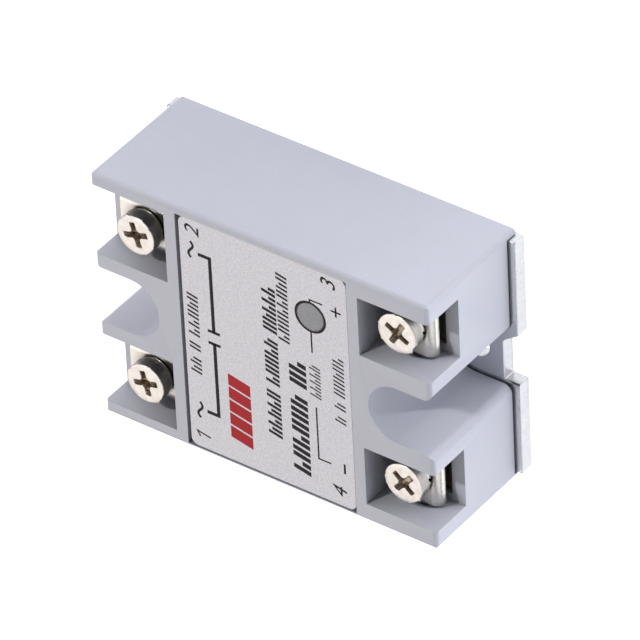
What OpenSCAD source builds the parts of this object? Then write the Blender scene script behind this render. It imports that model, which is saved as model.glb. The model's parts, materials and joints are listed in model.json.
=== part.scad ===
// Panel-mount solid state relay.
// Origin: centre of the base plate's underside. +Z out of the labelled face,
// +X along the lines of the label, +Y from the input terminals to the output terminals.
// Terminals 1 and 2 are the output pair at +Y, terminals 3 and 4 the input pair at -Y.

/* [Housing] */
// Width of the plastic housing along X
housing_w = 45; // [44.5:0.5:46]
// Length of the plastic housing along Y
housing_l = 60.7; // [60:0.1:61]
// Height from the base plate's underside to the top of the terminal blocks
overall_h = 23; // [23:0.5:25]
// Radius of the outer edges
edge_r = 0.8; // [0.4:0.1:1.2]
// Thickness of the housing's side and end walls
wall = 1.8; // [1.4:0.1:2]
// Depth of the seat for the label below the terminal blocks
seat_depth = 1.15; // [0.8:0.05:1.3]
// Width of the mounting slot in each end
slot_w = 10.2; // [9.6:0.2:10.4]
// Distance from the centre to the round end of each mounting slot
slot_y = 24.1; // [24:0.1:24.6]

/* [Base plate] */
// Width of the aluminium base plate
plate_w = 43.2; // [42.6:0.1:43.2]
// Length of the aluminium base plate
plate_l = 63; // [61.6:0.2:63]
// Thickness of the aluminium base plate
plate_t = 2.5; // [2:0.1:2.6]
// Distance between the two mounting holes
hole_pitch = 47.5; // [47:0.1:48]
// Diameter of the mounting holes
hole_d = 4.8; // [4.2:0.1:5]

/* [Terminals] */
// Distance of every terminal screw from the centre line
screw_x = 13.9; // [13.8:0.05:14]
// Distance of the output screws from the centre
output_y = 22.5; // [22.3:0.1:22.7]
// Distance of the input screws from the centre
input_y = 23.5; // [23.3:0.1:23.6]
// Diameter of the screw heads
head_d = 6.8; // [6.4:0.1:7]
// Nominal diameter of the screw thread
thread_d = 3.5; // [3:0.1:3.5]
// Length of the screws under the head
thread_l = 8; // [7.8:0.1:8.2]
// Length of a clamp plate along its straight edges
clamp_l = 9.8; // [9:0.1:9.8]
// Width of a clamp plate across its curled edges
clamp_w = 8.8; // [8.4:0.1:9]

/* [Hidden] */
$fn = 64;

eps = 0.01;                               // small overrun, so that cuts break the surface
joint_gap = 0.4;                          // potted joint between the plate and the housing rim
rim_z = plate_t + joint_gap;
seat_z = overall_h - seat_depth;
seat_y0 = -15.9;                          // label seat, input side
seat_y1 = 14.9;                           // label seat, output side
seat_x0 = -21.85;                         // label seat, edge beside terminals 1 and 4
seat_x1 = 21.15;                          // label seat, edge beside terminals 2 and 3
skirt_t = 0.75;                           // side skirts that wrap the plate's long edges
skirt_z = 0.6;
slot_r = slot_w / 2;
slot_wall = 1.7;
ceiling_t = 1.6;
label_t = 1.0;
window_r = 2.4;

// Pockets: [centre x, width, inner y, floor z], open at the top and at the end face
input_pocket_w = 10.6;
input_pocket_y = 17.8;
input_floor_z = 15.4;
output_pocket_w = 12.8;
output_pocket_y = 16.95;
output_floor_z = 17.4;

// Terminal wells in the pocket floors
well_w = 8;
well_l = 9.2;
well_depth = 2;
terminal_t = 1.4;
well_wall = 1.4;
sump_r = 2.4;                             // clearance for the screw tip below the terminal
tail_w = 4;

// Screw stack, measured along Z
head_t = 1.9;
washer_t = 0.9;
washer_d = 6.2;
clamp_t = 1;
clamp_curl_r = 1.6;
input_head_z = 21.35;
output_head_z = 22.9;
running_gap = 0.1;                        // washer to clamp plate
screw_turns = [14, 16, 61, 48];           // how far each screw stands turned, anticlockwise, degrees
washer_turns = [200, 155, -92, -84];      // where each spring washer's split points, degrees

// Circuit board
board_z = 9;
board_t = 1.6;
board_top = board_z + board_t;
lead_d = 0.7;
led_x = 11.9;
led_y = -9.05;
insulator_t = 0.6;                        // ceramic pad between the plate and the power switch

// Terminal number: 1 and 2 are outputs, 3 and 4 inputs; 2 and 3 are on the +X side
function is_output(n) = n <= 2;
function side(n) = (n == 2 || n == 3) ? 1 : -1;
function term_x(n) = side(n) * screw_x;
function term_y(n) = is_output(n) ? output_y : -input_y;
function floor_z(n) = is_output(n) ? output_floor_z : input_floor_z;
function head_z(n) = is_output(n) ? output_head_z : input_head_z;
function outward(n) = is_output(n) ? 1 : -1;
function well_inner_y(n) = is_output(n) ? 18.2 : 18.8;

// ---- shapes used more than once ----

// Rectangle with round corners, centred on the origin
module rounded_rect(w, l, r) {
    square([w - 2 * r, l], center = true);
    square([w, l - 2 * r], center = true);
    for (sx = [-1, 1], sy = [-1, 1])
        translate([sx * (w / 2 - r), sy * (l / 2 - r)])
            circle(r);
}

// Rectangle on the X axis from height 0 to h with its two upper corners rounded
module round_top_rect(w, h, r) {
    translate([-w / 2, 0])
        square([w, h - r]);
    translate([-w / 2 + r, 0])
        square([w - 2 * r, h]);
    for (sx = [-1, 1])
        translate([sx * (w / 2 - r), h - r])
            circle(r);
}

// Block from z0 to z1 with rounded upright and top edges
module soft_block(w, l, z0, z1, r) {
    translate([0, 0, z0])
        intersection() {
            linear_extrude(z1 - z0)
                rounded_rect(w, l, r);
            rotate([90, 0, 0])
                linear_extrude(l + 2, center = true)
                    round_top_rect(w, z1 - z0, r);
            rotate([90, 0, 90])
                linear_extrude(w + 2, center = true)
                    round_top_rect(l, z1 - z0, r);
        }
}

// Box given by its lower corner and upper corner
module span(low, high) {
    translate(low)
        cube(high - low);
}

// Box in a terminal's own place: x about the screw, y outward from the centre
module terminal_span(n, x0, x1, y0, y1, z0, z1) {
    ya = min(outward(n) * y0, outward(n) * y1);
    yb = max(outward(n) * y0, outward(n) * y1);
    span([term_x(n) + x0, ya, z0], [term_x(n) + x1, yb, z1]);
}

// Mounting slot outline of radius r, open towards the end on the given side
module slot_outline(r, end) {
    translate([0, end * slot_y])
        circle(r);
    translate([-r, end > 0 ? slot_y : -slot_y - housing_l / 2])
        square([2 * r, housing_l / 2]);
}

// Takes the sharp corners off the slot's mouth
module slot_mouth(r, end) {
    round_r = end > 0 ? 1 : 1.5;
    half = r + round_r;
    y0 = housing_l / 2 - round_r + 0.03;
    difference() {
        translate([-half, end > 0 ? y0 : -housing_l / 2 - 1])
            square([2 * half, housing_l / 2 + 1 - y0]);
        for (s = [-1, 1])
            translate([s * half, end * y0])
                circle(round_r);
    }
}

// ---- housing ----

module pocket(n) {
    w = is_output(n) ? output_pocket_w : input_pocket_w;
    y0 = is_output(n) ? output_pocket_y : input_pocket_y;
    terminal_span(n, -w / 2, w / 2, y0, housing_l, floor_z(n), overall_h + 1);
    if (!is_output(n))
        translate([term_x(n), term_y(n), floor_z(n)])
            cylinder(h = 3.2, r = w / 2 + 0.5);
}

module well(n) {
    y0 = well_inner_y(n);
    terminal_span(n, -well_w / 2, well_w / 2, y0, y0 + well_l, floor_z(n) - well_depth, floor_z(n) + eps);
}

module sump(n) {
    depth = is_output(n) ? 3.8 : 3.9;
    translate([term_x(n), term_y(n), floor_z(n) - well_depth - depth])
        cylinder(h = depth + eps, r = sump_r);
}

// Plastic left around a well and its sump inside the cavity
module well_cup(n) {
    y0 = well_inner_y(n);
    y1 = housing_l / 2;
    z0 = floor_z(n) - well_depth - well_wall;
    terminal_span(n, -well_w / 2 - well_wall, well_w / 2 + well_wall, y0 - well_wall, y1, z0, overall_h);
    translate([term_x(n), term_y(n), z0 - 4])
        cylinder(h = 5, r = sump_r + 1.2);
}

// Hollow under the housing that the potting compound fills
module cavity() {
    inner_w = housing_w - 2 * wall;
    inner_l = housing_l - 2 * wall;
    difference() {
        union() {
            span([-inner_w / 2, seat_y0, rim_z - eps], [inner_w / 2, seat_y1, seat_z - ceiling_t]);
            span([-inner_w / 2, -inner_l / 2, rim_z - eps], [inner_w / 2, 0, input_floor_z - ceiling_t]);
            span([-inner_w / 2, 0, rim_z - eps], [inner_w / 2, inner_l / 2, output_floor_z - ceiling_t]);
        }
        for (end = [-1, 1])
            linear_extrude(overall_h)
                slot_outline(slot_r + slot_wall, end);
        for (n = [1:4])
            well_cup(n);
    }
}

module led_hole() {
    translate([led_x, led_y, seat_z - ceiling_t - 1])
        cylinder(h = ceiling_t + 2, r = window_r);
}

module housing() {
    color([0.78, 0.79, 0.83])
        difference() {
            soft_block(housing_w, housing_l, skirt_z, overall_h, edge_r);
            span([-housing_w / 2 + skirt_t, -housing_l, -1], [housing_w / 2 - skirt_t, housing_l, rim_z]);
            span([seat_x0, seat_y0, seat_z], [seat_x1, seat_y1, overall_h + 1]);
            for (end = [-1, 1])
                translate([0, 0, -1])
                    linear_extrude(overall_h + 2) {
                        slot_outline(slot_r, end);
                        slot_mouth(slot_r, end);
                    }
            cavity();
            led_hole();
            for (n = [1:4]) {
                pocket(n);
                well(n);
                sump(n);
                terminal_shape(n);
            }
        }
}

// ---- base plate ----

module plate_outline() {
    difference() {
        rounded_rect(plate_w, plate_l, 0.5);
        for (end = [-1, 1]) {
            translate([0, end * hole_pitch / 2])
                circle(d = hole_d);
            notch_outline(end);
        }
    }
}

// Shallow notch in the plate's end, with one side straight and the other flared
module notch_outline(end) {
    depth = 2.7;
    straight = -4.7;
    root = 2.5;
    mouth = 4.3;
    y1 = end * plate_l / 2;
    y0 = end * (plate_l / 2 - depth);
    polygon([[straight, y0], [root, y0], [mouth, y1], [mouth, y1 + end], [straight, y1 + end]]);
}

module base_plate() {
    color([0.86, 0.87, 0.89])
        linear_extrude(plate_t)
            plate_outline();
}

// ---- label and window ----

module label_plate() {
    label_w = 42.7;
    label_l = 30.15;
    label_r = 1.2;
    label_x = -0.3;
    label_y = -0.68;
    color([0.82, 0.81, 0.84])
        translate([0, 0, seat_z])
            linear_extrude(label_t)
                difference() {
                    translate([label_x, label_y])
                        rounded_rect(label_w, label_l, label_r);
                    translate([led_x, led_y])
                        circle(window_r + 0.05);
                }
}

module led_window() {
    depth = 1;
    color([0.72, 0.71, 0.74, 0.8])
        translate([led_x, led_y, seat_z - depth])
            cylinder(h = depth + label_t, r = window_r);
}

// ---- terminals ----

// Threaded strip in the well, with a tail through the inner wall and down to the board
module terminal_shape(n) {
    z1 = floor_z(n) - well_depth + terminal_t;
    z0 = floor_z(n) - well_depth;
    y0 = well_inner_y(n);
    tail_y = 13.2;
    tail_z = is_output(n) ? 4.2 : board_z - 0.8;
    terminal_span(n, -well_w / 2, well_w / 2, y0, y0 + well_l, z0, z1);
    terminal_span(n, -tail_w / 2, tail_w / 2, tail_y, y0 + eps, z0, z1);
    terminal_span(n, -tail_w / 2, tail_w / 2, tail_y, tail_y + 1, tail_z, z0 + eps);
}

module terminal(n) {
    color([0.84, 0.80, 0.70])
        difference() {
            terminal_shape(n);
            translate([term_x(n), term_y(n), floor_z(n) - well_depth - 1])
                cylinder(h = terminal_t + 2, d = thread_d + 0.1);
        }
}

// Square clamp plate with two opposite edges curled down, top face at z = 0
module clamp_shape() {
    flat = clamp_w - 2 * clamp_curl_r;
    rotate([90, 0, 0])
        linear_extrude(clamp_l, center = true) {
            translate([-flat / 2, -clamp_t])
                square([flat, clamp_t]);
            for (sx = [-1, 1])
                translate([sx * flat / 2, -clamp_curl_r])
                    intersection() {
                        difference() {
                            circle(clamp_curl_r);
                            circle(clamp_curl_r - clamp_t);
                        }
                        translate([sx > 0 ? 0 : -clamp_curl_r, 0])
                            square(clamp_curl_r);
                    }
        }
}

// The curled edges lie along Y at the outputs and along X at the inputs
module clamp_plate(n) {
    color([0.88, 0.86, 0.84])
        translate([term_x(n), term_y(n), head_z(n) - head_t - washer_t - running_gap])
            difference() {
                rotate([0, 0, is_output(n) ? 0 : 90])
                    clamp_shape();
                translate([0, 0, -clamp_t - 1])
                    cylinder(h = clamp_t + 2, d = thread_d + 0.6);
            }
}

// Split spring washer under the screw head
module lock_washer(n) {
    split_w = 0.6;
    color([0.74, 0.72, 0.70])
        translate([term_x(n), term_y(n), head_z(n) - head_t - washer_t])
            difference() {
                cylinder(h = washer_t, d = washer_d);
                translate([0, 0, -1])
                    cylinder(h = washer_t + 2, d = thread_d + 0.2);
                rotate([0, 0, washer_turns[n - 1]])
                    translate([0, -split_w / 2, -1])
                        cube([washer_d, split_w, washer_t + 2]);
            }
}

// Pan-head screw with a cross recess
module terminal_screw(n) {
    recess_l = 4.4;
    recess_w = 0.95;
    recess_depth = 1.3;
    chamfer = 0.35;
    color([0.92, 0.89, 0.86])
        translate([term_x(n), term_y(n), head_z(n)])
            difference() {
                union() {
                    translate([0, 0, -chamfer])
                        cylinder(h = chamfer, d1 = head_d, d2 = head_d - 2 * chamfer);
                    translate([0, 0, -head_t])
                        cylinder(h = head_t - chamfer, d = head_d);
                    translate([0, 0, -head_t - thread_l])
                        cylinder(h = thread_l + eps, d = thread_d);
                }
                for (arm = [0, 90])
                    rotate([0, 0, screw_turns[n - 1] + arm])
                        translate([-recess_l / 2, -recess_w / 2, -recess_depth])
                            cube([recess_l, recess_w, recess_depth + 1]);
            }
}

// ---- circuit ----

// Axial part lying on the board along Y, with both leads bent down through it
module axial_part(x, y, body_d, body_l, pitch) {
    $fn = 24;
    z = board_top + body_d / 2 + 0.2;
    translate([x, y, z])
        rotate([90, 0, 0])
            cylinder(h = body_l, d = body_d, center = true);
    translate([x, y, z])
        rotate([90, 0, 0])
            cylinder(h = pitch, d = lead_d, center = true);
    for (s = [-1, 1])
        translate([x, y + s * pitch / 2, board_z - 1])
            cylinder(h = z - board_z + 1 + lead_d, d = lead_d + 0.1);
}

module input_resistor() {
    color([0.45, 0.60, 0.72])
        axial_part(17, -5, 2.4, 6.5, 10);
}

module input_diode() {
    color([0.15, 0.15, 0.16])
        axial_part(6.2, -9.6, 2.2, 4.6, 7.5);
}

module gate_resistor_1() {
    color([0.45, 0.60, 0.72])
        axial_part(-12.5, -6, 2.4, 6.5, 10);
}

module gate_resistor_2() {
    color([0.45, 0.60, 0.72])
        axial_part(-17, -6, 2.4, 6.5, 10);
}

module snubber_resistor() {
    color([0.80, 0.74, 0.62])
        axial_part(16.6, 6.8, 3.6, 8, 10.6);
}

module snubber_capacitor() {
    $fn = 24;
    color([0.72, 0.20, 0.16])
        union() {
            span([-7, 8, board_top], [6, 13, board_top + 9]);
            for (x = [-5.5, 4.5])
                translate([x, 10.5, board_z - 1])
                    cylinder(h = board_t + 1 + eps, d = 0.7);
        }
}

module optocoupler() {
    body_l = 8.9;
    body_w = 6.4;
    row = 3.81;
    color([0.16, 0.16, 0.17])
        translate([-2.5, -2, 0]) {
            span([-body_w / 2, -body_l / 2, board_top + 0.5], [body_w / 2, body_l / 2, board_top + 3.9]);
            for (sx = [-1, 1], i = [-1:1])
                span([sx * row - 0.25, i * 2.54 - 0.3, board_z - 1], [sx * row + 0.25, i * 2.54 + 0.3, board_top + 2.2]);
            for (sx = [-1, 1], i = [-1:1])
                span([min(sx * row, sx * 3), i * 2.54 - 0.3, board_top + 1.9],
                     [max(sx * row, sx * 3), i * 2.54 + 0.3, board_top + 2.2]);
        }
}

// Small transistor in a D-shaped case that limits the input current
module current_limit_transistor() {
    r = 2.3;
    color([0.15, 0.15, 0.16])
        translate([11.5, -2.2, 0]) {
            translate([0, 0, board_top + 2])
                intersection() {
                    cylinder(h = 4.6, r = r);
                    span([-r, -1.3, 0], [r, r, 4.6]);
                }
            for (x = [-1.27, 0, 1.27])
                span([x - 0.25, -0.2, board_z - 1], [x + 0.25, 0.3, board_top + 2 + eps]);
        }
}

// Lamp on long leads behind the window
module status_led() {
    $fn = 32;
    body_r = 1.5;
    flange_z = seat_z - ceiling_t - 4.2;
    color([0.80, 0.15, 0.12])
        translate([led_x, led_y, 0]) {
            translate([0, 0, flange_z])
                cylinder(h = 1, r = 1.9);
            translate([0, 0, flange_z + 1 - eps])
                cylinder(h = 1.6, r = body_r);
            translate([0, 0, flange_z + 2.6 - eps])
                intersection() {
                    sphere(body_r);
                    cylinder(h = 2, r = 2);
                }
            for (s = [-1, 1])
                translate([s * 1.27, 0, board_z - 1])
                    cylinder(h = flange_z - board_z + 1 + eps, d = 0.5);
        }
}

module board_parts() {
    input_resistor();
    input_diode();
    gate_resistor_1();
    gate_resistor_2();
    snubber_resistor();
    snubber_capacitor();
    optocoupler();
    current_limit_transistor();
    status_led();
}

module board_slab() {
    span([-19.8, -15.4, board_z], [19.8, 14.6, board_top]);
}

module circuit_board() {
    color([0.16, 0.42, 0.26])
        difference() {
            board_slab();
            board_parts();
            for (n = [1:4])
                terminal_shape(n);
        }
}

// Power switch on its ceramic insulator, with three leads towards the output end
module triac() {
    lead_pitch = 5.45;
    z0 = plate_t + insulator_t;
    color([0.13, 0.13, 0.14])
        union() {
            span([-7.8, -9.5, z0], [7.8, 7, z0 + 4.6]);
            for (i = [-1:1])
                span([i * lead_pitch - 0.6, 7 - eps, z0 + 1.9], [i * lead_pitch + 0.6, 12, z0 + 2.5]);
        }
}

module insulator_pad(z0) {
    span([-9, -10.5, z0], [9, 8, plate_t + insulator_t]);
}

module triac_insulator() {
    color([0.93, 0.92, 0.89])
        insulator_pad(plate_t);
}

// Copper strap from a triac lead to the foot of an output terminal
module output_strap(n) {
    s = side(n);
    z0 = plate_t + insulator_t + 2.5;
    x0 = min(s * 4.85, s * 15.9);
    x1 = max(s * 4.85, s * 15.9);
    color([0.80, 0.48, 0.32])
        difference() {
            span([x0, 10, z0], [x1, 14.9, z0 + 0.8]);
            terminal_shape(n);
        }
}

// ---- potting ----

module potting_compound() {
    inset = 0.35;
    color([0.10, 0.10, 0.11])
        difference() {
            union() {
                intersection() {
                    cavity();
                    span([-housing_w, -housing_l, 0], [housing_w, housing_l, seat_z - ceiling_t - 1.2]);
                }
                translate([0, 0, plate_t])
                    linear_extrude(joint_gap)
                        difference() {
                            square([plate_w, housing_l - 2 * inset], center = true);
                            for (end = [-1, 1])
                                slot_outline(slot_r + inset, end);
                        }
            }
            board_slab();
            board_parts();
            triac();
            insulator_pad(plate_t - 1);
            output_strap(1);
            output_strap(2);
            for (n = [1:4])
                terminal_shape(n);
        }
}

base_plate();
housing();
potting_compound();
label_plate();
led_window();
status_led();
circuit_board();
optocoupler();
triac();
triac_insulator();
input_resistor();
input_diode();
current_limit_transistor();
gate_resistor_1();
gate_resistor_2();
snubber_resistor();
snubber_capacitor();
output_strap(1);  // output_strap_1
output_strap(2);  // output_strap_2
terminal(1);  // terminal_1
terminal(2);  // terminal_2
terminal(3);  // terminal_3
terminal(4);  // terminal_4
clamp_plate(1);  // clamp_plate_1
clamp_plate(2);  // clamp_plate_2
clamp_plate(3);  // clamp_plate_3
clamp_plate(4);  // clamp_plate_4
lock_washer(1);  // lock_washer_1
lock_washer(2);  // lock_washer_2
lock_washer(3);  // lock_washer_3
lock_washer(4);  // lock_washer_4
terminal_screw(1);  // terminal_screw_1
terminal_screw(2);  // terminal_screw_2
terminal_screw(3);  // terminal_screw_3
terminal_screw(4);  // terminal_screw_4
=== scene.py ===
import json
import math
import random

import bmesh
import bpy
from mathutils import Matrix, Vector


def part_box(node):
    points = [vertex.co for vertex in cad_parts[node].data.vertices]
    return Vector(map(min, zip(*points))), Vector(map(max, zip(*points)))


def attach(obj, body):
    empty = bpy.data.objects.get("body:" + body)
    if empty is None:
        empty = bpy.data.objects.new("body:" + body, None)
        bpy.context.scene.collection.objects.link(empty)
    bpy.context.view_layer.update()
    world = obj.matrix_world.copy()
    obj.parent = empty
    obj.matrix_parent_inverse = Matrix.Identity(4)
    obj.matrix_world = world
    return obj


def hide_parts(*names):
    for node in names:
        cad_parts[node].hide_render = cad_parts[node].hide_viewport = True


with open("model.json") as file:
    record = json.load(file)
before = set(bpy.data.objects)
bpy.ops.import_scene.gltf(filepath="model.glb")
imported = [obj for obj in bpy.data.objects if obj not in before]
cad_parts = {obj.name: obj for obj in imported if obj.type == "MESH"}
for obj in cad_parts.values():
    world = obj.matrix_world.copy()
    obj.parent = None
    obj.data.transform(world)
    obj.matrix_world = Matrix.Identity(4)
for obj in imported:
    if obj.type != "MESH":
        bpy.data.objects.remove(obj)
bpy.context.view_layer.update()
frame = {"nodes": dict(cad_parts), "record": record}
nodes = frame["nodes"]

MM = 0.001
TERMINALS = (1, 2, 3, 4)


def mm(x, y, z):
    """A point given in millimetres, in metres."""
    return Vector((x * MM, y * MM, z * MM))


# ---------------------------------------------------------------- places taken from the frame

def centre(node):
    """The middle of a CAD node's box, in metres."""
    low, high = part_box(node)
    return (low + high) / 2


# In millimetres
LABEL_CENTRE = centre("label_plate") / MM
LABEL_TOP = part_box("label_plate")[1].z / MM
# In metres
WINDOW_LOW, WINDOW_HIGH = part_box("led_window")
WINDOW_CENTRE = centre("led_window")
# In millimetres
WINDOW_RADIUS = (WINDOW_HIGH.x - WINDOW_LOW.x) / 2 / MM


# ---------------------------------------------------------------- node material helpers

# How far a seed of 1 moves a noise along each axis, in features
SEED_SHIFT = (1.0, 1.7, 0.6)


class Shader:
    """A material being built: nodes are added by add() and joined by link()."""

    def __init__(self, name):
        self.material = bpy.data.materials.new(name)
        self.material.use_nodes = True
        self.tree = self.material.node_tree
        self.tree.nodes.clear()
        self.out = self.add("ShaderNodeOutputMaterial")
        self.bsdf = self.add("ShaderNodeBsdfPrincipled")
        self.link(self.bsdf.outputs[0], self.out.inputs[0])
        self.place = self.add("ShaderNodeTexCoord").outputs["Object"]

    def add(self, kind, **settings):
        node = self.tree.nodes.new(kind)
        for key, value in settings.items():
            setattr(node, key, value)
        return node

    def link(self, a, b):
        self.tree.links.new(a, b)

    def value(self, socket, value):
        self.bsdf.inputs[socket].default_value = value

    def textured(self, kind, size_mm, stretch=(1, 1, 1), seed=0.0, **settings):
        """A texture node whose features are about size_mm across."""
        mapping = self.add("ShaderNodeMapping")
        mapping.inputs["Scale"].default_value = [s / (size_mm * MM) for s in stretch]
        mapping.inputs["Location"].default_value = [seed * shift for shift in SEED_SHIFT]
        self.link(self.place, mapping.inputs["Vector"])
        texture = self.add(kind, **settings)
        texture.inputs["Scale"].default_value = 1.0
        self.link(mapping.outputs[0], texture.inputs["Vector"])
        return texture

    def noise(self, size_mm, detail=3, rough=0.5, stretch=(1, 1, 1), seed=0.0):
        """Noise from 0 to 1."""
        noise = self.textured("ShaderNodeTexNoise", size_mm, stretch, seed)
        noise.inputs["Detail"].default_value = detail
        noise.inputs["Roughness"].default_value = rough
        return noise.outputs["Fac"]

    def cells(self, size_mm, feature="DISTANCE_TO_EDGE"):
        """Distance to the edges of random cells, or with feature F1 to their middles."""
        return self.textured("ShaderNodeTexVoronoi", size_mm, feature=feature).outputs["Distance"]

    def ramp(self, source, stops):
        """source through a colour ramp. stops: (position, value or colour)."""
        ramp = self.add("ShaderNodeValToRGB")
        self.link(source, ramp.inputs[0])
        elements = ramp.color_ramp.elements
        while len(elements) < len(stops):
            elements.new(0.5)
        for element, (position, value) in zip(elements, stops):
            element.position = position
            colour = (value, value, value) if isinstance(value, (int, float)) else value
            element.color = (*colour, 1)
        return ramp.outputs[0]

    def mix(self, factor, a, b, blend="MIX"):
        """a, changed to b by the factor. Each is a colour, a number or another node's output."""
        mix = self.add("ShaderNodeMix", data_type="RGBA", blend_type=blend)
        for socket, value in ((mix.inputs[0], factor), (mix.inputs[6], a), (mix.inputs[7], b)):
            if isinstance(value, tuple):
                socket.default_value = (*value, 1)
            elif isinstance(value, float):
                socket.default_value = value
            else:
                self.link(value, socket)
        return mix.outputs[2]

    def maths(self, operation, a, b=0.0):
        node = self.add("ShaderNodeMath", operation=operation)
        for socket, value in zip(node.inputs, (a, b)):
            if isinstance(value, float):
                socket.default_value = value
            else:
                self.link(value, socket)
        return node.outputs[0]

    def spread(self, source, low, high):
        """source, from 0 to 1, brought to the range low to high."""
        node = self.add("ShaderNodeMapRange")
        self.link(source, node.inputs["Value"])
        node.inputs["To Min"].default_value = low
        node.inputs["To Max"].default_value = high
        return node.outputs[0]

    def axis(self, name):
        """One coordinate of the surface point, in metres."""
        split = self.add("ShaderNodeSeparateXYZ")
        self.link(self.place, split.inputs[0])
        return split.outputs[name]

    def upright(self):
        """1 on upright faces, 0 on flat ones."""
        split = self.add("ShaderNodeSeparateXYZ")
        self.link(self.add("ShaderNodeTexCoord").outputs["Normal"], split.inputs[0])
        return self.ramp(self.maths("ABSOLUTE", split.outputs["Z"]), [(0.25, 1.0), (0.75, 0.0)])

    def sharp_edges(self, low, high):
        """0 on flat ground to 1 on outer edges, between two values of the pointiness."""
        geometry = self.add("ShaderNodeNewGeometry")
        return self.ramp(geometry.outputs["Pointiness"], [(low, 0.0), (high, 1.0)])

    def painted_shade(self, source, reach_mm, dark, own=True):
        """Painted shade: the colour, darkened towards dark where the surface is closed in within reach_mm.
        """
        shade = self.add("ShaderNodeAmbientOcclusion", samples=8, only_local=own)
        shade.inputs["Distance"].default_value = reach_mm * MM
        closed = self.ramp(shade.outputs["AO"], [(0.2, dark), (0.85, 1.0)])
        return self.mix(1.0, source, closed, "MULTIPLY")

    def colour(self, source):
        self.link(source, self.bsdf.inputs["Base Color"])

    def roughness(self, source):
        self.link(source, self.bsdf.inputs["Roughness"])

    def bump(self, *layers):
        """layers: (height source, depth in millimetres)."""
        normal = None
        for source, depth in layers:
            bump = self.add("ShaderNodeBump")
            bump.inputs["Distance"].default_value = depth * MM
            bump.inputs["Strength"].default_value = 1.0
            self.link(source, bump.inputs["Height"])
            if normal is not None:
                self.link(normal, bump.inputs["Normal"])
            normal = bump.outputs[0]
        self.link(normal, self.bsdf.inputs["Normal"])


# ---------------------------------------------------------------- materials

def grey_plastic():
    """Moulded housing plastic, paler along worn edges, with painted shade darkening its pockets."""
    s = Shader("grey_plastic")
    grain = s.noise(0.35, detail=4, rough=0.6)
    cloud = s.noise(9, detail=2, seed=3.0)
    tone = s.ramp(cloud, [(0.3, (0.498, 0.506, 0.582)), (0.7, (0.516, 0.525, 0.606))])
    worn = s.mix(s.maths("MULTIPLY", s.sharp_edges(0.50, 0.56), 0.35), tone, (0.62, 0.62, 0.67))
    speck = s.ramp(s.noise(0.16, detail=2, seed=8.0), [(0.25, 0.93), (0.5, 1.0)])
    # Painted shade: the colour is darkened where the housing closes in, in its pockets and recesses
    s.colour(s.painted_shade(s.mix(1.0, worn, speck, "MULTIPLY"), 9, 0.25))
    s.roughness(s.spread(grain, 0.46, 0.60))
    s.value("Specular IOR Level", 0.45)
    s.bump((grain, 0.012), (cloud, 0.02))
    return s.material


def epoxy():
    """Black potting compound with slow flow marks."""
    s = Shader("epoxy")
    flow = s.noise(2.5, detail=4)
    s.colour(s.ramp(flow, [(0.3, (0.012, 0.013, 0.018)), (0.8, (0.03, 0.03, 0.04))]))
    s.roughness(s.spread(flow, 0.35, 0.6))
    s.bump((flow, 0.1))
    return s.material


def aluminium():
    """Sheared sheet: brushed flat faces, streaked cut faces, small pits and dark broken edges."""
    s = Shader("aluminium_plate")
    brushed = s.noise(0.5, detail=6, rough=0.65, stretch=(6, 0.25, 6))
    sheared = s.noise(0.5, detail=5, rough=0.7, stretch=(3.0, 3.0, 0.5), seed=5.0)
    blotch = s.noise(3.5, detail=3, seed=2.0)
    pits = s.ramp(s.noise(0.22, detail=2, seed=11.0), [(0.24, 0.45), (0.34, 1.0)])
    flat = s.mix(brushed, (0.90, 0.91, 0.94), (0.97, 0.975, 0.99))
    flat = s.mix(s.ramp(blotch, [(0.45, 0.0), (0.85, 0.3)]), flat, (0.76, 0.78, 0.84))
    streaks = s.ramp(sheared, [(0.35, 0.0), (0.65, 1.0)])
    cut = s.mix(streaks, (0.52, 0.515, 0.53), (0.62, 0.615, 0.625))
    tone = s.mix(s.upright(), flat, cut)
    edge = s.sharp_edges(0.58, 0.66)
    broken = s.ramp(s.noise(1.6, detail=4, rough=0.6, seed=7.0), [(0.42, 0.10), (0.58, 1.0)])
    tone = s.mix(s.maths("MULTIPLY", edge, broken), tone, (0.13, 0.13, 0.15))
    s.colour(s.mix(1.0, tone, pits, "MULTIPLY"))
    s.value("Metallic", 0.85)
    s.roughness(s.spread(sheared, 0.08, 0.24))
    s.bump((brushed, 0.010), (sheared, 0.02))
    return s.material


def silver_label():
    """Matt silver sheet with a fine grain."""
    s = Shader("silver_label")
    fine = s.noise(0.30, detail=3, rough=0.7)
    cloud = s.noise(6, detail=3, seed=4.0)
    tone = s.ramp(fine, [(0.30, (0.52, 0.52, 0.575)), (0.70, (0.80, 0.79, 0.85))])
    s.colour(s.mix(s.spread(cloud, 0.0, 0.3), tone, (0.72, 0.715, 0.77)))
    s.value("Metallic", 0.35)
    s.roughness(s.spread(fine, 0.38, 0.52))
    s.value("Coat Weight", 0.15)
    s.value("Coat Roughness", 0.35)
    s.bump((fine, 0.006), (cloud, 0.03))
    return s.material


def ink(name, colour, paler):
    """Screen-printed ink, paler in its grain."""
    s = Shader(name)
    grain = s.noise(0.12, detail=3)
    s.colour(s.mix(s.ramp(grain, [(0.45, 0.0), (0.8, 1.0)]), colour, paler))
    s.roughness(s.spread(grain, 0.40, 0.55))
    s.value("Specular IOR Level", 0.15)
    s.bump((grain, 0.004))
    return s.material


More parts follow.
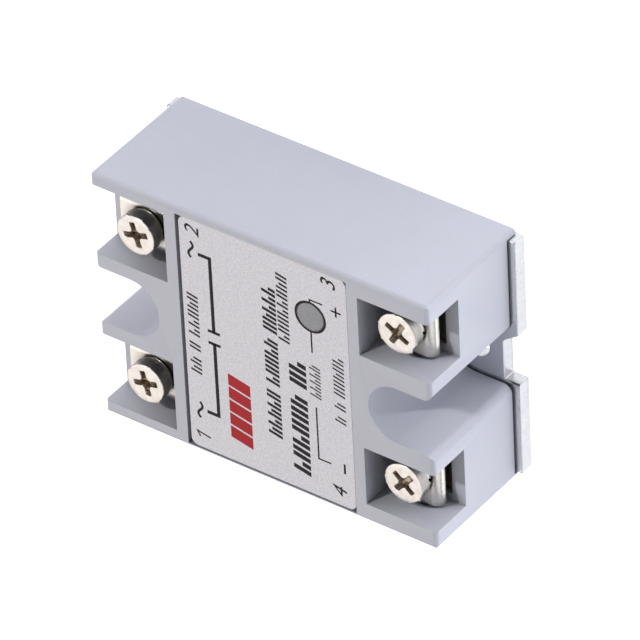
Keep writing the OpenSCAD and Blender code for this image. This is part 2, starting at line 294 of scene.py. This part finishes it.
def nickel():
    """Plated steel of the washers and clamp plates, with painted shade: darker on upright faces and where
    closed in.
    """
    s = Shader("nickel")
    pits = s.noise(0.18, detail=4, rough=0.65)
    swirl = s.noise(1.3, detail=3, seed=6.0)
    tone = s.mix(swirl, (0.78, 0.745, 0.70), (0.90, 0.865, 0.82))
    # Painted shade: upright faces get a darker tone, standing in for the dark surroundings they reflect
    tone = s.mix(s.upright(), tone, s.mix(swirl, (0.42, 0.42, 0.38), (0.60, 0.59, 0.53)))
    # Painted shade: darker where closed in within 2.5 mm
    s.colour(s.painted_shade(tone, 2.5, 0.06, own=False))
    s.value("Metallic", 1.0)
    s.roughness(s.spread(pits, 0.20, 0.38))
    s.bump((pits, 0.006), (swirl, 0.03))
    return s.material


def nickel_head():
    """The rougher plate on the screws, with painted shade on upright faces and where closed in."""
    s = Shader("nickel_head")
    grain = s.noise(0.14, detail=4, rough=0.7)
    swirl = s.noise(1.1, detail=3, seed=6.0)
    tone = s.mix(s.ramp(swirl, [(0.3, 0.0), (0.7, 1.0)]), (0.74, 0.705, 0.67), (0.90, 0.87, 0.84))
    # Painted shade: the head's upright sides get a darker tone, standing in for the dark pocket they
    # reflect
    tone = s.mix(s.upright(), tone, s.mix(swirl, (0.24, 0.225, 0.21), (0.42, 0.40, 0.38)))
    # Painted shade: darker where closed in within 2.5 mm
    s.colour(s.painted_shade(tone, 2.5, 0.06, own=False))
    s.value("Metallic", 1.0)
    s.roughness(s.spread(grain, 0.26, 0.42))
    s.bump((grain, 0.012), (swirl, 0.02))
    return s.material


def recess_nickel():
    """The plate inside the screws' recesses, stained brown, with painted shade in their depths."""
    s = Shader("recess_nickel")
    stain = s.noise(0.6, detail=4, rough=0.65, seed=2.0)
    tone = s.mix(s.ramp(stain, [(0.35, 0.0), (0.7, 1.0)]), (0.34, 0.27, 0.21), (0.66, 0.57, 0.47))
    # Painted shade: the stained colour is darkened further where closed in within 0.8 mm
    s.colour(s.painted_shade(tone, 0.8, 0.35))
    s.value("Metallic", 0.95)
    s.roughness(s.spread(stain, 0.20, 0.40))
    s.bump((stain, 0.02))
    return s.material


def window_plastic():
    """Cloudy resin full of small bubbles."""
    s = Shader("window")
    cloud = s.noise(1.6, detail=3, rough=0.6, seed=1.0)
    bubbles = s.ramp(s.cells(0.32, feature="F1"), [(0.10, 1.0), (0.32, 0.0)])
    tone = s.mix(cloud, (0.20, 0.20, 0.225), (0.33, 0.33, 0.36))
    s.colour(s.mix(s.maths("MULTIPLY", bubbles, 0.55), tone, (0.52, 0.52, 0.55)))
    s.roughness(s.spread(cloud, 0.25, 0.40))
    s.value("Coat Weight", 0.2)
    s.value("Coat Roughness", 0.25)
    s.bump((bubbles, 0.02))
    return s.material


ROUGH_SPREAD = 0.08


def plain(name, dark, light, rough, size_mm=0.6, metallic=0.0, depth_mm=0.02, coat=0.0, stretch=(1, 1, 1)):
    """A mottled finish for the small parts inside."""
    s = Shader(name)
    mottle = s.noise(size_mm, detail=4, rough=0.6, stretch=stretch)
    s.colour(s.mix(mottle, dark, light))
    s.value("Metallic", metallic)
    s.value("Coat Weight", coat)
    s.roughness(s.spread(mottle, rough - ROUGH_SPREAD, rough + ROUGH_SPREAD))
    s.bump((mottle, depth_mm))
    return s.material


def circuit_lacquer():
    """Green lacquer with copper tracks showing through it."""
    s = Shader("green_board")
    tracks = s.cells(3.0)
    weave = s.noise(0.4, detail=2, stretch=(1, 3, 1))
    lines = s.ramp(tracks, [(0.05, 1.0), (0.09, 0.0)])
    board = s.mix(weave, (0.010, 0.090, 0.030), (0.020, 0.130, 0.050))
    s.colour(s.mix(lines, board, (0.030, 0.220, 0.090)))
    s.roughness(s.spread(weave, 0.25, 0.40))
    s.value("Coat Weight", 0.4)
    s.bump((lines, 0.03), (weave, 0.01))
    return s.material


def banded_resistor(name, body, band, along, middle_mm, pitch_mm):
    """Lacquered resistor with rings across its length along one axis."""
    s = Shader(name)
    mottle = s.noise(0.5, detail=3)
    place = s.maths("SUBTRACT", s.axis(along), middle_mm * MM)
    wave = s.maths("SINE", s.maths("MULTIPLY", place, 2 * math.pi / (pitch_mm * MM)))
    rings = s.ramp(wave, [(0.80, 0.0), (0.86, 1.0)])
    s.colour(s.mix(rings, s.mix(mottle, body, tuple(c * 1.15 for c in body)), band))
    s.roughness(s.spread(mottle, 0.22, 0.34))
    s.bump((mottle, 0.02))
    return s.material


# Glow of the floor, what is added to it in front as a share, and how far in front that is full, in metres
FLOOR_GLOW = 1.08
FRONT_EXTRA = 0.95
FRONT_REACH = 0.10


def pale_floor():
    """Overlit white sweep, brighter in front of the input end."""
    s = Shader("floor")
    cloud = s.noise(300, detail=2)
    s.colour(s.mix(cloud, (0.30, 0.30, 0.30), (0.33, 0.33, 0.33)))
    s.roughness(s.spread(cloud, 0.6, 0.7))
    front = s.spread(s.axis("Y"), 1.0, 0.0)
    front.node.inputs["From Min"].default_value = -FRONT_REACH
    front.node.inputs["From Max"].default_value = 0.0
    s.value("Emission Color", (0.93, 0.955, 1.0, 1.0))
    extra = s.maths("MULTIPLY", front, FLOOR_GLOW * FRONT_EXTRA)
    s.link(s.maths("ADD", extra, FLOOR_GLOW), s.bsdf.inputs["Emission Strength"])
    s.bump((cloud, 0.1))
    return s.material


BLACK_INK = ink("black_ink", (0.010, 0.010, 0.014), (0.035, 0.035, 0.042))
RED_INK = ink("red_ink", (0.42, 0.016, 0.022), (0.48, 0.045, 0.05))
RECESS_NICKEL = recess_nickel()
MATERIALS = {
    "aluminium_plate": aluminium(),
    "grey_plastic": grey_plastic(),
    "epoxy": epoxy(),
    "silver_label": silver_label(),
    "window": window_plastic(),
    "nickel": nickel(),
    "nickel_screw": nickel_head(),
    "green_board": circuit_lacquer(),
    "resistor_body": banded_resistor(
        "resistor_body", body=(0.07, 0.20, 0.36), band=(0.30, 0.10, 0.03),
        along="Y", middle_mm=-5.5, pitch_mm=1.3,
    ),
    "power_resistor": plain(
        "power_resistor", (0.45, 0.36, 0.22), (0.60, 0.50, 0.34), rough=0.75, depth_mm=0.06,
    ),
    "red_led": plain("red_led", (0.45, 0.01, 0.01), (0.60, 0.03, 0.02), rough=0.15, coat=0.6),
    "black_case": plain(
        "black_case", (0.010, 0.010, 0.011), (0.022, 0.022, 0.024), rough=0.55, size_mm=0.3,
    ),
    "ceramic": plain("ceramic", (0.74, 0.73, 0.68), (0.82, 0.81, 0.77), rough=0.60, size_mm=0.4),
    "film_capacitor": plain(
        "film_capacitor", (0.36, 0.02, 0.015), (0.45, 0.04, 0.03), rough=0.30, size_mm=1.5, coat=0.3,
    ),
    "copper": plain(
        "copper", (0.70, 0.30, 0.18), (0.85, 0.45, 0.30), rough=0.30, metallic=1.0, stretch=(0.3, 3, 3),
    ),
    "terminal_brass": plain(
        "terminal_brass", (0.30, 0.27, 0.20), (0.40, 0.37, 0.28), rough=0.35, size_mm=2.0,
        metallic=1.0, depth_mm=0.01,
    ),
}


# ---------------------------------------------------------------- carried-over CAD nodes

# Distance under which two points are one, in metres, and the angles that count as flat and as an edge
WELD = 1e-6
FLAT_DEGREES = 0.5
EDGE_DEGREES = 32


def finish_cad_node(node, slot, edge_mm, segments):
    """Gives a CAD node its material and a small radius along its sharp edges."""
    obj = nodes[node]
    obj.data.materials.clear()
    obj.data.materials.append(MATERIALS[slot])
    with bpy.context.temp_override(object=obj, active_object=obj):
        bpy.ops.mesh.customdata_custom_splitnormals_clear()
    obj.data.shade_smooth()
    weld = obj.modifiers.new("weld", "WELD")
    weld.merge_threshold = WELD
    merge = obj.modifiers.new("flats", "DECIMATE")
    merge.decimate_type = "DISSOLVE"
    merge.angle_limit = math.radians(FLAT_DEGREES)
    bevel = obj.modifiers.new("edges", "BEVEL")
    bevel.width = edge_mm * MM
    bevel.segments = segments
    bevel.limit_method = "ANGLE"
    bevel.angle_limit = math.radians(EDGE_DEGREES)
    bevel.harden_normals = True
    bevel.miter_outer = "MITER_ARC"
    weighted = obj.modifiers.new("normals", "WEIGHTED_NORMAL")
    weighted.weight = 80
    weighted.keep_sharp = True


slot_of = {row["node"]: row["material_slot"] for row in frame["record"]["subparts"]}
# Edge radius of the pieces that show, and of the rest
EDGES_MM = {"housing": 0.22, "base_plate": 0.22, "label_plate": 0.06, "clamp_plate": 0.14}
INNER_EDGE_MM = 0.08
REPLACED = ["led_window"]
for n in TERMINALS:
    REPLACED += [f"terminal_screw_{n}", f"lock_washer_{n}"]
for node, slot in slot_of.items():
    if node not in REPLACED:
        family = node.rstrip("_1234")
        finish_cad_node(node, slot, EDGES_MM.get(family, INNER_EDGE_MM), 3 if family in EDGES_MM else 2)


# ---------------------------------------------------------------- mesh helpers

def object_from(bm, name, *materials):
    """Turns the mesh being built into a smooth-shaded object."""
    mesh = bpy.data.meshes.new(name)
    bmesh.ops.recalc_face_normals(bm, faces=bm.faces)
    bm.to_mesh(mesh)
    bm.free()
    mesh.shade_smooth()
    for material in materials:
        mesh.materials.append(material)
    obj = bpy.data.objects.new(name, mesh)
    bpy.context.scene.collection.objects.link(obj)
    return obj


def ring(bm, points):
    return [bm.verts.new(p) for p in points]


def arc(x, y, radius, start, end, steps):
    """Points along an arc round (x, y), from start to end in degrees."""
    angles = [math.radians(start + (end - start) * i / steps) for i in range(steps + 1)]
    return [(x + radius * math.cos(a), y + radius * math.sin(a)) for a in angles]


def bridge(bm, a, b, material=0):
    """Quads between two closed rings of the same count."""
    count = len(a)
    for i in range(count):
        face = bm.faces.new((a[i], a[(i + 1) % count], b[(i + 1) % count], b[i]))
        face.material_index = material


def cap(bm, points, middle, material=0):
    """Triangles from a closed ring to one middle point."""
    centre_vertex = bm.verts.new(middle)
    count = len(points)
    for i in range(count):
        face = bm.faces.new((points[i], points[(i + 1) % count], centre_vertex))
        face.material_index = material


def sharp_by_angle(obj, degrees):
    """Splits the shading where the mesh turns by more than this."""
    weighted = obj.modifiers.new("normals", "WEIGHTED_NORMAL")
    weighted.keep_sharp = True
    limit = math.radians(degrees)
    bm = bmesh.new()
    bm.from_mesh(obj.data)
    for edge in bm.edges:
        if len(edge.link_faces) == 2 and edge.calc_face_angle() > limit:
            edge.smooth = False
    bm.to_mesh(obj.data)
    bm.free()


# ---------------------------------------------------------------- screws

# All in millimetres. Each level of the cross recess: depth, reach of the arms, half their width, and
# the fillet between them
RECESS_LEVELS = [
    (0.00, 2.24, 0.520, 0.50),
    (0.05, 2.20, 0.480, 0.50),
    (0.30, 2.08, 0.440, 0.48),
    (0.70, 1.86, 0.385, 0.44),
    (1.05, 1.62, 0.335, 0.40),
    (1.25, 1.42, 0.300, 0.36),
]
RECESS_CORNER = 0.20
# The lip below the flat of the head, the recess's deepest point, and where its stain begins
RECESS_LIP = 0.01
RECESS_BOTTOM = 1.42
STAIN_FROM = 0.05
# Head: the neck under it, the rounding of its foot, its draft and the draft's depth, its chamfer, the
# margin of its flat, and the most that a burr stands out
NECK_RADIUS = 1.6
HEAD_FOOT = 0.12
HEAD_DRAFT = 0.03
HEAD_DRAFT_DEPTH = 0.6
HEAD_CHAMFER = 0.14
FLAT_MARGIN = 0.02
BURR_LIMIT = 0.24
# Where the flat's last ring stands, as a multiple of the recess's mouth, and how far the thread runs into
# the head
MOUTH_RING = 1.03
THREAD_LAP = 0.1
# Angle of each screw's cross and of the middle of each washer's split, in degrees
SCREW_TURNS = {1: 14, 2: 16, 3: 61, 4: 48}
WASHER_TURNS = {1: 200, 2: 155, 3: -92, 4: -84}


def cross_outline(tip, half, fillet, corner):
    """Points round a cross with rounded tips and filleted roots, anticlockwise, in millimetres."""
    end_steps, side_steps, corner_steps, fillet_steps = 4, 7, 3, 12
    near, far = half + fillet, tip - corner
    quadrant = [(tip, (half - corner) * i / end_steps) for i in range(end_steps)]
    quadrant += arc(tip - corner, half - corner, corner, 0, 90, corner_steps)
    quadrant += [(far + (near - far) * i / side_steps, half) for i in range(1, side_steps)]
    quadrant += arc(near, near, fillet, 270, 180, fillet_steps)
    quadrant += [(half, near + (far - near) * i / side_steps) for i in range(1, side_steps)]
    quadrant += arc(half - corner, tip - corner, corner, 0, 90, corner_steps)
    quadrant += [((half - corner) * (1 - i / end_steps), tip) for i in range(1, end_steps)]
    outline = []
    for turn in range(4):
        c, s = round(math.cos(turn * math.pi / 2)), round(math.sin(turn * math.pi / 2))
        outline += [(x * c - y * s, x * s + y * c) for x, y in quadrant]
    return outline


def random_burrs(rng, count, sign, sizes, widths):
    """Bumps (sign 1) or nicks (sign -1) in a rim: the angle, size and width of each."""
    return [
        (rng.uniform(0, 2 * math.pi), sign * rng.uniform(*sizes), rng.uniform(*widths))
        for _ in range(count)
    ]


def burred(reach, angle, burrs):
    """A rim's radius at an angle, with its burrs."""
    grow = 0.0
    for at, size, width in burrs:
        away = (angle - at + math.pi) % (2 * math.pi) - math.pi
        grow += size * math.exp(-(away / width) ** 2)
    return reach + min(grow, BURR_LIMIT)


def screw_piece(number):
    """Pan-head screw: a rim with a few burrs, a stained cross recess and a rolled thread."""
    low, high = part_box(f"terminal_screw_{number}")
    axis = (low + high) / 2
    top, outer = high.z, (high.x - low.x) / 2 / MM
    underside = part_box(f"lock_washer_{number}")[1].z
    turn = math.radians(SCREW_TURNS[number])
    rng = random.Random(40 + number)
    burrs = random_burrs(rng, 6, 1, sizes=(0.12, 0.24), widths=(0.03, 0.06))
    burrs += random_burrs(rng, 5, -1, sizes=(0.05, 0.12), widths=(0.04, 0.09))

    def place(x, y, z):
        c, s = math.cos(turn), math.sin(turn)
        return Vector((axis.x + (x * c - y * s) * MM, axis.y + (x * s + y * c) * MM, z))

    mouth = cross_outline(*RECESS_LEVELS[0][1:], RECESS_CORNER)
    angles = [math.atan2(y, x) for x, y in mouth]

    def circle(reach, z, rim=()):
        points = []
        for a in angles:
            r = burred(reach, a, rim)
            points.append(place(r * math.cos(a), r * math.sin(a), z))
        return points

    def flat_ring(share):
        """The head's flat, a share of the way from its rim to the mouth of the recess."""
        flat = outer - HEAD_CHAMFER - FLAT_MARGIN
        points = []
        for (x, y), a in zip(mouth, angles):
            fx, fy = flat * math.cos(a), flat * math.sin(a)
            mx, my = x * MOUTH_RING, y * MOUTH_RING
            points.append(place(fx + (mx - fx) * share, fy + (my - fy) * share, top))
        return points

    rings = [
        circle(NECK_RADIUS, underside),
        circle(outer - HEAD_FOOT, underside),
        circle(outer, underside + HEAD_FOOT * MM),
        circle(outer - HEAD_DRAFT, top - HEAD_DRAFT_DEPTH * MM),
        circle(outer, top - HEAD_CHAMFER * MM, burrs),
    ]
    for degrees in (30, 60, 90):
        a = math.radians(degrees)
        drop = HEAD_CHAMFER * (1 - math.sin(a)) * MM
        rings.append(circle(outer - HEAD_CHAMFER + HEAD_CHAMFER * math.cos(a), top - drop, burrs))
    rings += [flat_ring(share) for share in (0.25, 0.5, 0.75, 0.93)]
    stained_from = len(rings) + sum(level[0] <= STAIN_FROM for level in RECESS_LEVELS)
    for depth, tip, half, fillet in RECESS_LEVELS:
        outline = cross_outline(tip, half, fillet, RECESS_CORNER)
        rings.append([place(x, y, top - (depth + RECESS_LIP) * MM) for x, y in outline])

    bm = bmesh.new()
    previous = None
    for i, points in enumerate(rings):
        current = ring(bm, points)
        if previous is None:
            cap(bm, current, place(0, 0, underside))
        else:
            bridge(bm, previous, current, 0 if i < stained_from else 1)
        previous = current
    cap(bm, previous, place(0, 0, top - RECESS_BOTTOM * MM), 1)
    thread_rings(bm, place, low.z, underside + THREAD_LAP * MM)
    obj = object_from(bm, f"screw_{number}_detail", MATERIALS["nickel_screw"], RECESS_NICKEL)
    sharp_by_angle(obj, 42)
    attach(obj, f"screw_{number}")
    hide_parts(f"terminal_screw_{number}")


def thread_rings(bm, place, bottom, top):
    """Rolled M3.5 thread from bottom to top, as one closed shell with a tapered tip."""
    pitch, major, depth, around = 0.6, 1.74, 0.30, 28
    tip_share, tip_length = 0.55, 0.9
    step = pitch / 6
    height = (top - bottom) / MM
    rows = int(height / step)
    previous = None
    for row in range(rows + 1):
        z = height * row / rows
        points = []
        for i in range(around):
            a = 2 * math.pi * i / around
            phase = (z / pitch - i / around) % 1.0
            groove = depth * abs(2 * phase - 1)
            taper = min(1.0, tip_share + z / tip_length)
            r = (major - groove) * taper
            points.append(place(r * math.cos(a), r * math.sin(a), bottom + z * MM))
        current = ring(bm, points)
        if previous is None:
            cap(bm, current, place(0, 0, bottom))
        else:
            bridge(bm, previous, current)
        previous = current
    cap(bm, previous, place(0, 0, top))


# ---------------------------------------------------------------- spring washers

def washer_piece(number):
    """Split spring washer, its ends a little above and below each other."""
    low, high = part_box(f"lock_washer_{number}")
    axis = (low + high) / 2
    outer, thick = (high.x - low.x) / 2 / MM, (high.z - low.z) / MM
    inner, soft, rise, steps = 1.85, 0.10, 0.08, 72
    half = thick / 2 - rise / 2
    gap, split_slant = math.radians(11), math.radians(5)
    start = math.radians(WASHER_TURNS[number])
    bm = bmesh.new()
    previous = None
    for i in range(steps + 1):
        share = i / steps
        a = start + gap / 2 + (2 * math.pi - gap) * share
        lift = rise * (share - 0.5)
        section = [
            (inner + soft, -half), (outer - soft, -half), (outer, -half + soft), (outer, half - soft),
            (outer - soft, half), (inner + soft, half), (inner, half - soft), (inner, -half + soft),
        ]
        points = []
        for r, z in section:
            slant = split_slant * z / half
            x, y = r * math.cos(a + slant), r * math.sin(a + slant)
            points.append(axis + mm(x, y, z + lift))
        current = ring(bm, points)
        if previous is None:
            bm.faces.new(current)
        else:
            bridge(bm, previous, current)
        previous = current
    bm.faces.new(list(reversed(previous)))
    obj = object_from(bm, f"spring_washer_{number}", MATERIALS["nickel"])
    sharp_by_angle(obj, 60)
    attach(obj, f"screw_{number}")
    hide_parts(f"lock_washer_{number}")


for n in TERMINALS:
    screw_piece(n)
    washer_piece(n)


# ---------------------------------------------------------------- window

def window_piece():
    """Diffusing window with a rounded edge and a slightly crowned face."""
    radius, bottom, top = WINDOW_RADIUS, WINDOW_LOW.z / MM, WINDOW_HIGH.z / MM
    soft, crown, crown_steps, around = 0.12, 0.10, 7, 64
    profile = [(radius - soft, bottom), (radius, bottom + soft), (radius, top - soft)]
    profile += arc(radius - soft, top - soft, soft, 0, 90, 3)[1:]
    for i in range(1, crown_steps):
        share = 1 - i / crown_steps
        profile.append(((radius - soft) * share, top + crown * (1 - share * share)))

    def place(r, a, z):
        x, y = WINDOW_CENTRE.x + r * MM * math.cos(a), WINDOW_CENTRE.y + r * MM * math.sin(a)
        return Vector((x, y, z * MM))

    bm = bmesh.new()
    previous = None
    for r, z in profile:
        current = ring(bm, [place(r, 2 * math.pi * i / around, z) for i in range(around)])
        if previous is None:
            cap(bm, current, place(0, 0, z))
        else:
            bridge(bm, previous, current)
        previous = current
    cap(bm, previous, place(0, 0, top + crown))
    obj = object_from(bm, "window_lens", MATERIALS["window"])
    sharp_by_angle(obj, 50)
    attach(obj, "relay")
    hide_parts("led_window")


window_piece()


# ---------------------------------------------------------------- print on the label

# Height of the print above the label and its root in it, in millimetres
INK_MM = 0.018
INK_ROOT_MM = 0.004
# How far the letters lean for each millimetre of height
SLANT = 0.22
DIGIT_SHEAR = 0.25
# A digit's height as a share of the font's size
DIGIT_SHARE = 0.70


class Print:
    """Collects flat inked shapes, placed from the label's centre, and builds them as one thin solid."""

    def __init__(self, name, material):
        self.name, self.material = name, material
        self.bm = bmesh.new()

    def at(self, x, y, z):
        return mm(LABEL_CENTRE.x + x, LABEL_CENTRE.y + y, LABEL_TOP + z)

    def shape(self, outline):
        low = ring(self.bm, [self.at(x, y, -INK_ROOT_MM) for x, y in outline])
        high = ring(self.bm, [self.at(x, y, INK_MM) for x, y in outline])
        bridge(self.bm, low, high)
        self.bm.faces.new(high)
        self.bm.faces.new(list(reversed(low)))

    def stroke(self, points, width):
        """A line of the given width through the points, with mitred corners."""
        left, right = [], []
        for i, point in enumerate(points):
            here = Vector(point)
            before = (here - Vector(points[i - 1])).normalized() if i else None
            after = (Vector(points[i + 1]) - here).normalized() if i < len(points) - 1 else None
            tangent = ((before or after) + (after or before)).normalized()
            side = Vector((-tangent.y, tangent.x))
            run = before or after
            side *= width / 2 / max(0.5, abs(side.dot(Vector((-run.y, run.x)))))
            left.append(tuple(here + side))
            right.append(tuple(here - side))
        self.shape(left + right[::-1])

    def band(self, x0, x1, y, height):
        """Bar with slanted ends."""
        lean = SLANT * height / 2
        self.shape([
            (x0 - lean, y - height / 2), (x1 - lean, y - height / 2),
            (x1 + lean, y + height / 2), (x0 + lean, y + height / 2),
        ])

    def ring_mark(self, x, y, inner, outer):
        around = 72
        for i in range(around):
            a, b = 2 * math.pi * i / around, 2 * math.pi * (i + 1) / around
            corners = ((inner, a), (outer, a), (outer, b), (inner, b))
            self.shape([(x + r * math.cos(angle), y + r * math.sin(angle)) for r, angle in corners])

    def digit(self, text, x, y, height):
        """A number, y at its middle."""
        curve = bpy.data.curves.new("digit", "FONT")
        curve.body = text
        curve.size = height / DIGIT_SHARE * MM
        curve.shear = DIGIT_SHEAR
        curve.align_x = "CENTER"
        curve.resolution_u = 6
        curve.extrude = INK_MM / 2 * MM
        obj = bpy.data.objects.new("digit", curve)
        bpy.context.scene.collection.objects.link(obj)
        bpy.context.view_layer.update()
        depsgraph = bpy.context.evaluated_depsgraph_get()
        mesh = bpy.data.meshes.new_from_object(obj.evaluated_get(depsgraph))
        mesh.transform(Matrix.Translation(self.at(x, y - height / 2, INK_MM / 2)))
        self.bm.from_mesh(mesh)
        bpy.data.objects.remove(obj)
        bpy.data.curves.remove(curve)
        bpy.data.meshes.remove(mesh)

    def build(self):
        obj = object_from(self.bm, self.name, self.material)
        for polygon in obj.data.polygons:
            polygon.use_smooth = False
        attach(obj, "relay")


# Rows of ticks that stand for words, in millimetres from the label's centre: left and right end, middle,
# height, letters in each word, and a tick's width as a share of a letter's
WORD_ROWS = [
    (-7.3, 7.7, 13.3, 2.0, (2, 1, 5), 0.22),
    (-13.2, 14.9, -0.85, 2.5, (5, 5, 5), 0.30),
    (5.5, 18.2, -3.35, 2.0, (8,), 0.24),
    (-18.1, 3.1, -5.5, 3.1, (6, 2), 0.33),
    (-2.6, 3.5, -8.65, 2.0, (5,), 0.20),
    (-5.6, 6.9, -13.0, 2.0, (1, 1, 5), 0.20),
]
# The gap between two words, as a share of a letter's width
WORD_GAP = 0.7


def placeholder_words(page, x0, x1, y, height, words, weight):
    """A row of slanted ticks, two to a letter's width."""
    letters = sum(words) + WORD_GAP * (len(words) - 1)
    pitch = (x1 - x0) / letters
    rng = random.Random(int(abs(y) * 100) + len(words))
    x = x0
    for count in words:
        for _ in range(count):
            for start, share in ((0.05, 1.0), (0.53, rng.choice((0.5, 0.74, 1.0)))):
                drop = height * (1 - share) / 2
                left = x + pitch * start - SLANT * drop
                page.band(left, left + pitch * weight, y - drop, height * share)
            x += pitch
        x += WORD_GAP * pitch


def wave_mark(page, x, y, length, swing, width):
    """One period of a sine wave."""
    steps = 16
    points = []
    for i in range(steps + 1):
        t = i / steps
        points.append((x + length * (t - 0.5), y + swing * math.sin(2 * math.pi * t)))
    page.stroke(points, width)


def terminal_numbers(page):
    """The numbers beside the terminals, the first of them a bent stroke."""
    for text, x, y in (("2", 19.3, 12.7), ("3", 19.6, -11.8), ("4", -18.9, -12.2)):
        page.digit(text, x, y, 2.6)
    page.stroke([(-18.95, 11.45), (-18.45, 13.85), (-19.35, 13.35)], 0.30)


def output_circuit(page):
    """Open contact between the alternating-current terminals, and a wave beside each."""
    line_y, stub_y, contact = 9.65, 11.75, 1.1
    for side in (-1, 1):
        stub_x, contact_x = 0.7 + 14.7 * side, 0.6 + 1.1 * side
        wave_mark(page, 0.8 + 15.0 * side, 13.05, 3.0, 0.42, 0.42)
        page.stroke([(stub_x, stub_y), (stub_x, line_y), (contact_x, line_y)], 0.60)
        page.stroke([(contact_x, line_y - contact), (contact_x, line_y + contact)], 0.50)


def input_circuit(page):
    """Lamp between the direct-current terminals, and their plus and minus signs."""
    x, y = WINDOW_CENTRE.x / MM - LABEL_CENTRE.x, WINDOW_CENTRE.y / MM - LABEL_CENTRE.y
    inner, outer, line = WINDOW_RADIUS + 0.05, WINDOW_RADIUS + 0.42, 0.26
    page.ring_mark(x, y, inner, outer)
    page.stroke([(x + outer, y), (x + 3.2, y), (x + 3.2, y - 2.3)], line)
    page.stroke([(x - outer, y), (x - 6.6, y)], line)
    page.stroke([(-4.5, y - 0.25), (-14.1, y - 0.25), (-14.1, y - 2.5)], line)
    page.stroke([(14.1, -13.05), (15.9, -13.05)], 0.30)
    page.stroke([(15.0, -12.15), (15.0, -13.95)], 0.30)
    page.stroke([(-15.0, -13.3), (-13.2, -13.3)], 0.36)


def red_blocks(page):
    """Five plain blocks where the label has a red word."""
    left, right, pitch = -17.3, -15.2, 2.45
    for block in range(5):
        page.band(left + pitch * block, right + pitch * block, 5.5, 4.0)


def print_label():
    black = Print("label_print_black", BLACK_INK)
    red = Print("label_print_red", RED_INK)
    terminal_numbers(black)
    output_circuit(black)
    input_circuit(black)
    for row in WORD_ROWS:
        placeholder_words(black, *row)
    red_blocks(red)
    black.build()
    red.build()


print_label()


# ---------------------------------------------------------------- floor, light and camera

def floor_piece():
    """A square floor, a hair below the part."""
    half, z = 3.0, -0.00005
    corners = ((-half, -half), (half, -half), (half, half), (-half, half))
    bm = bmesh.new()
    bm.faces.new([bm.verts.new((x, y, z)) for x, y in corners])
    object_from(bm, "floor", pale_floor())


# Name, direction from the part, distance and size in metres, radiance, colour
SOFTBOXES = [
    ("key", (0.63, 0.25, 0.73), 1.0, 0.05, 530.0, (1.0, 0.99, 0.97)),
    ("low_fill", (0.05, -0.98, 0.14), 0.8, 0.5, 0.5, (0.94, 0.95, 1.0)),
    ("left_card", (-0.61, -0.62, 0.48), 0.9, 0.6, 0.9, (0.98, 0.98, 1.0)),
    ("back_card", (-0.614, 0.481, 0.626), 0.8, 0.8, 0.90, (1.0, 0.94, 0.89)),
    ("top_card", (0.0, 0.2, 0.98), 0.8, 1.1, 0.62, (1.0, 0.99, 0.97)),
]
WORLD_COLOUR = (0.97, 0.98, 1.0, 1.0)
WORLD_STRENGTH = 0.10


def softbox(name, direction, distance, size, radiance, colour):
    """Square area light that faces the part."""
    light = bpy.data.lights.new(name, "AREA")
    light.shape = "SQUARE"
    light.size = size
    light.energy = radiance * math.pi * size * size
    light.color = colour
    obj = bpy.data.objects.new(name, light)
    bpy.context.scene.collection.objects.link(obj)
    away = Vector(direction).normalized()
    obj.location = away * distance
    obj.rotation_euler = away.to_track_quat("Z", "Y").to_euler()
    obj.visible_camera = False


def studio():
    world = bpy.data.worlds.new("studio")
    bpy.context.scene.world = world
    world.use_nodes = True
    background = world.node_tree.nodes["Background"]
    background.inputs["Color"].default_value = WORLD_COLOUR
    background.inputs["Strength"].default_value = WORLD_STRENGTH
    for row in SOFTBOXES:
        softbox(*row)
    bpy.context.scene.view_settings.view_transform = "Standard"


# The view's own axes, the camera's place in millimetres and its lens and sensor in millimetres
VIEW_RIGHT = (-0.0407, -0.8116, -0.5828)
VIEW_UP = (0.7884, 0.3322, -0.5178)
VIEW_FROM = (808.2, -634.0, 835.1)
LENS = 501.9
SENSOR = 36.0


def camera():
    right, up = Vector(VIEW_RIGHT), Vector(VIEW_UP)
    back = right.cross(up)
    data = bpy.data.cameras.new("camera")
    data.sensor_width = SENSOR
    data.lens = LENS
    data.clip_start = 0.05
    data.clip_end = 20.0
    obj = bpy.data.objects.new("camera", data)
    bpy.context.scene.collection.objects.link(obj)
    turn = Matrix((right, up, back)).transposed().to_4x4()
    obj.matrix_world = Matrix.Translation(mm(*VIEW_FROM)) @ turn
    bpy.context.scene.camera = obj


floor_piece()
studio()
camera()
